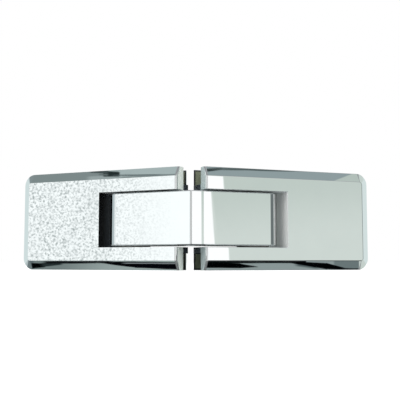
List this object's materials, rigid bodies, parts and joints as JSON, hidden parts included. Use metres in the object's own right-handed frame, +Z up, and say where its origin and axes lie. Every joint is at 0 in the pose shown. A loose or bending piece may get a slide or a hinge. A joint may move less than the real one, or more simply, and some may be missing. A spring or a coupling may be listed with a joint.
{
  "type": "glass door hinge",
  "caption": "Bevelled chrome glass-to-glass door hinge for panes that meet at an obtuse angle, with clamping plates, gaskets and a bent pivot block with a detent.",
  "frame": {"origin": "centre of the hinge's box at its bottom, with the leaves' lower edges at Z = 0", "axes": "+X across both leaves, towards the door leaf; +Y towards the side that the leaves fold to, away from the bend's point; +Z up, along both pins"},
  "size_m": [0.1808, 0.059, 0.05],
  "materials": {
    "chrome": "polished",
    "clamp_screw": "polished",
    "steel": "ground",
    "spring": "drawn wire",
    "gasket": "matt",
    "bush": "matt"
  },
  "bodies": {
    "fixed_leaf": {"fixed_front_plate": "chrome", "fixed_back_plate": "chrome", "fixed_front_gasket": "gasket", "fixed_back_gasket": "gasket", "fixed_pivot_pin": "steel", "fixed_clamp_screw_1": "clamp_screw", "fixed_clamp_screw_2": "clamp_screw", "fixed_lower_bush": "bush", "fixed_upper_bush": "bush", "pivot_block": "chrome", "door_arm_block": "chrome", "tenon_screw_1": "steel", "tenon_screw_2": "steel", "lock_screw_1": "steel", "lock_screw_2": "steel", "door_lower_bush": "bush", "door_upper_bush": "bush", "detent_plunger_1": "steel", "detent_plunger_2": "steel", "detent_spring_1": "spring", "detent_spring_2": "spring"},
    "door_leaf": {"door_front_plate": "chrome", "door_back_plate": "chrome", "door_front_gasket": "gasket", "door_back_gasket": "gasket", "door_pivot_pin": "steel", "door_clamp_screw_1": "clamp_screw", "door_clamp_screw_2": "clamp_screw"}
  },
  "joints": [
    {"name": "door_swing", "type": "hinge", "parent": "fixed_leaf", "child": "door_leaf", "pos_m": [0.02986, -0.00381, 0.025], "axis": [0, 0, 1], "range_deg": [-90, 90]}
  ]
}
